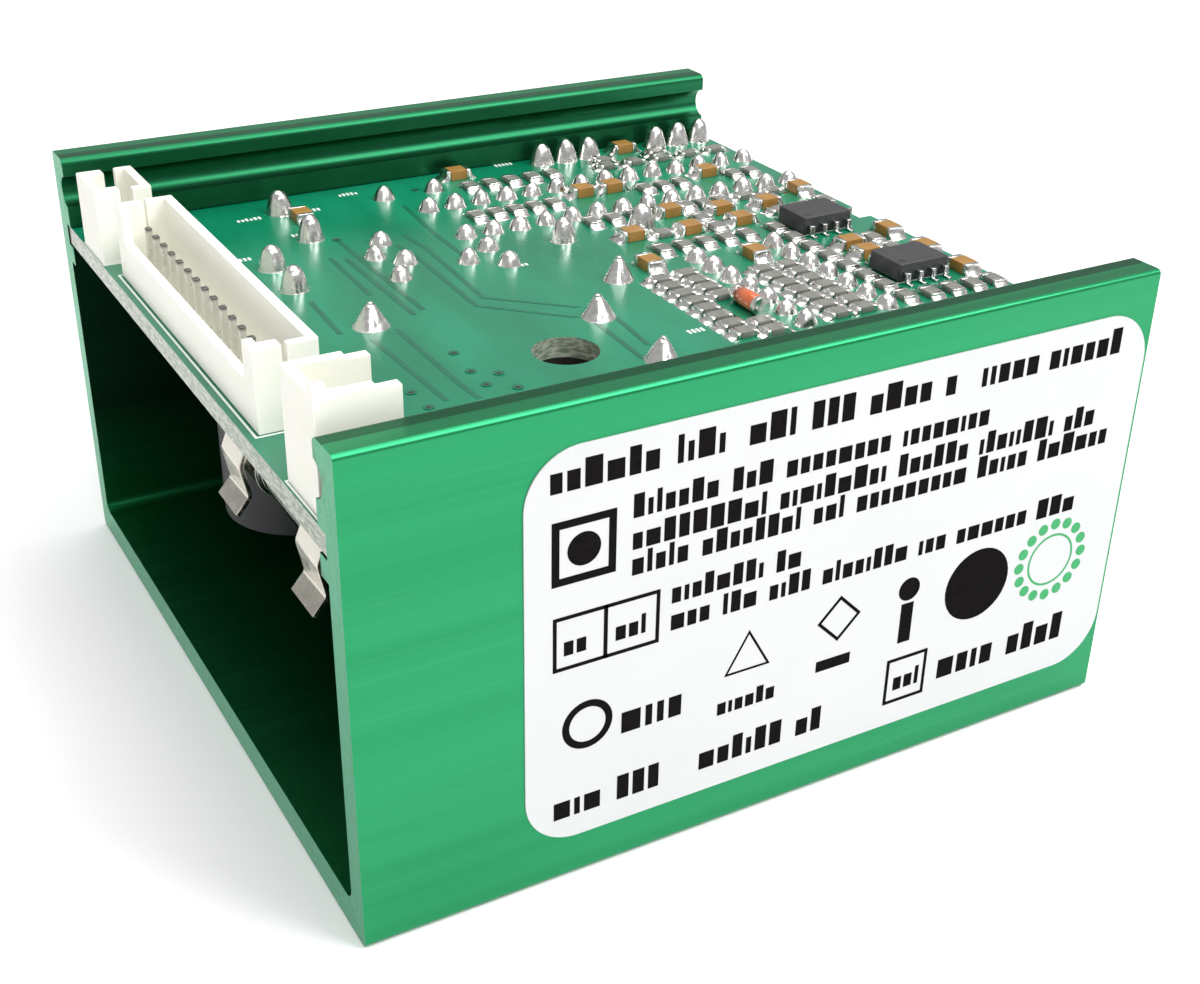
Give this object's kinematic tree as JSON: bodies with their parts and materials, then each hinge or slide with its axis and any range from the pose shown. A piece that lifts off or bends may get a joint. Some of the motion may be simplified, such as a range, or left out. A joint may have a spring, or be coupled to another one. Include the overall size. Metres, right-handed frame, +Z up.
{
  "type": "ultrasonic scaler driver module",
  "caption": "Open anodised U-channel holding a slide-in circuit board, solder side up, with white wire headers at one end, a fuse in clips and a tuning coil below, and a label on one wall.",
  "frame": {"origin": "centre of the channel underside", "axes": "+X along the channel, away from the connector end; +Y from the labelled wall to the back wall; +Z up, towards the open top"},
  "size_m": [0.063, 0.0641, 0.0385],
  "materials": {
    "aluminium_can": "drawn aluminium",
    "beige_enamel": "enamel",
    "black_epoxy": "moulded epoxy",
    "black_phenolic": "moulded phenolic",
    "blue_case": "moulded case",
    "brass": "turned brass",
    "clear_glass": "clear glass",
    "dark_sleeve": "shrink sleeve",
    "enamelled_copper": "enamelled copper wire",
    "ferrite": "dark ferrite",
    "fuse_wire": "fine wire",
    "green_anodised": "satin green anodised aluminium",
    "green_board": "glossy green solder mask over glass epoxy",
    "grey_silicone": "soft silicone",
    "ivory_nylon": "moulded nylon",
    "label_film": "smooth white polyester film",
    "nickel_can": "nickel plated",
    "nickel_caps": "nickel plated",
    "orange_glass": "orange glass",
    "resistor_ceramic": "grey overglaze",
    "solder": "bright solder",
    "tan_ceramic": "matt tan ceramic",
    "tinned_ends": "tinned",
    "tinned_leads": "tin plated",
    "tinned_pins": "tin plated",
    "tinned_spring": "tinned spring bronze",
    "tinned_tabs": "tinned copper",
    "white_nylon": "moulded nylon",
    "yellow_case": "moulded case"
  },
  "bodies": {
    "chassis": {"chassis_channel": "green_anodised", "rating_label": "label_film"},
    "board_assembly": {"chip_capacitors": "tan_ceramic", "chip_resistors": "resistor_ceramic", "chip_solder_joints": "solder", "chip_terminals": "tinned_ends", "choke_bobbin": "black_phenolic", "choke_core": "ferrite", "choke_pins": "tinned_leads", "choke_winding": "enamelled_copper", "circuit_board": "green_board", "coil_former": "black_phenolic", "coil_pins": "tinned_leads", "coil_winding": "enamelled_copper", "controller_body": "black_epoxy", "controller_leads": "tinned_leads", "crystal_can": "nickel_can", "crystal_leads": "tinned_leads", "diode_end_caps": "tinned_ends", "driver_chip_bodies": "black_epoxy", "driver_chip_leads": "tinned_leads", "film_capacitor": "yellow_case", "film_capacitor_leads": "tinned_leads", "fuse_clips": "tinned_spring", "glass_diode": "orange_glass", "handpiece_header_housing": "ivory_nylon", "handpiece_header_pins": "tinned_pins", "header_solder_joints": "solder", "large_solder_joints": "solder", "logic_body": "black_epoxy", "logic_leads": "tinned_leads", "main_header_housing": "ivory_nylon", "main_header_pins": "tinned_pins", "power_resistor": "beige_enamel", "power_resistor_leads": "tinned_leads", "power_solder_joints": "solder", "pump_header_housing": "ivory_nylon", "pump_header_pins": "tinned_pins", "reservoir_can": "aluminium_can", "reservoir_leads": "tinned_leads", "reservoir_sleeve": "dark_sleeve", "timing_cans": "dark_sleeve", "timing_leads": "tinned_leads", "transistor_bodies": "black_epoxy", "transistor_leads": "tinned_leads", "transistor_pads": "grey_silicone", "transistor_tabs": "tinned_tabs", "trimmer_body": "blue_case", "trimmer_pins": "tinned_leads"},
    "tuning_core_body": {"tuning_core": "ferrite"},
    "tuning_screw_body": {"tuning_screw": "brass"},
    "trimmer_rotor_body": {"trimmer_rotor": "white_nylon"},
    "fuse": {"fuse_tube": "clear_glass", "fuse_end_caps": "nickel_caps", "fuse_wire": "fuse_wire"}
  },
  "joints": [
    {"name": "board_slide", "type": "slide", "parent": "chassis", "child": "board_assembly", "axis": [-1, 0, 0], "range_m": [0, 0.07]},
    {"name": "core_travel", "type": "slide", "parent": "board_assembly", "child": "tuning_core_body", "axis": [0, 0, -1], "range_m": [-0.00187, 0.00374]},
    {"name": "screw_turn", "type": "hinge", "parent": "tuning_core_body", "child": "tuning_screw_body", "pos_m": [-0.0066, -0.013, 0.02], "axis": [0, 0, -1], "range_deg": [-900, 1800]},
    {"name": "trimmer_turn", "type": "hinge", "parent": "board_assembly", "child": "trimmer_rotor_body", "pos_m": [-0.0032, 0.0065, 0.0239], "axis": [0, 0, -1], "range_deg": [-135, 135]},
    {"name": "fuse_pull", "type": "slide", "parent": "board_assembly", "child": "fuse", "axis": [0, 0, -1], "range_m": [0, 0.012]}
  ],
  "couplings": [
    {"joint": "screw_turn", "follows": "core_travel", "rad_per_m": 8377.6}
  ]
}
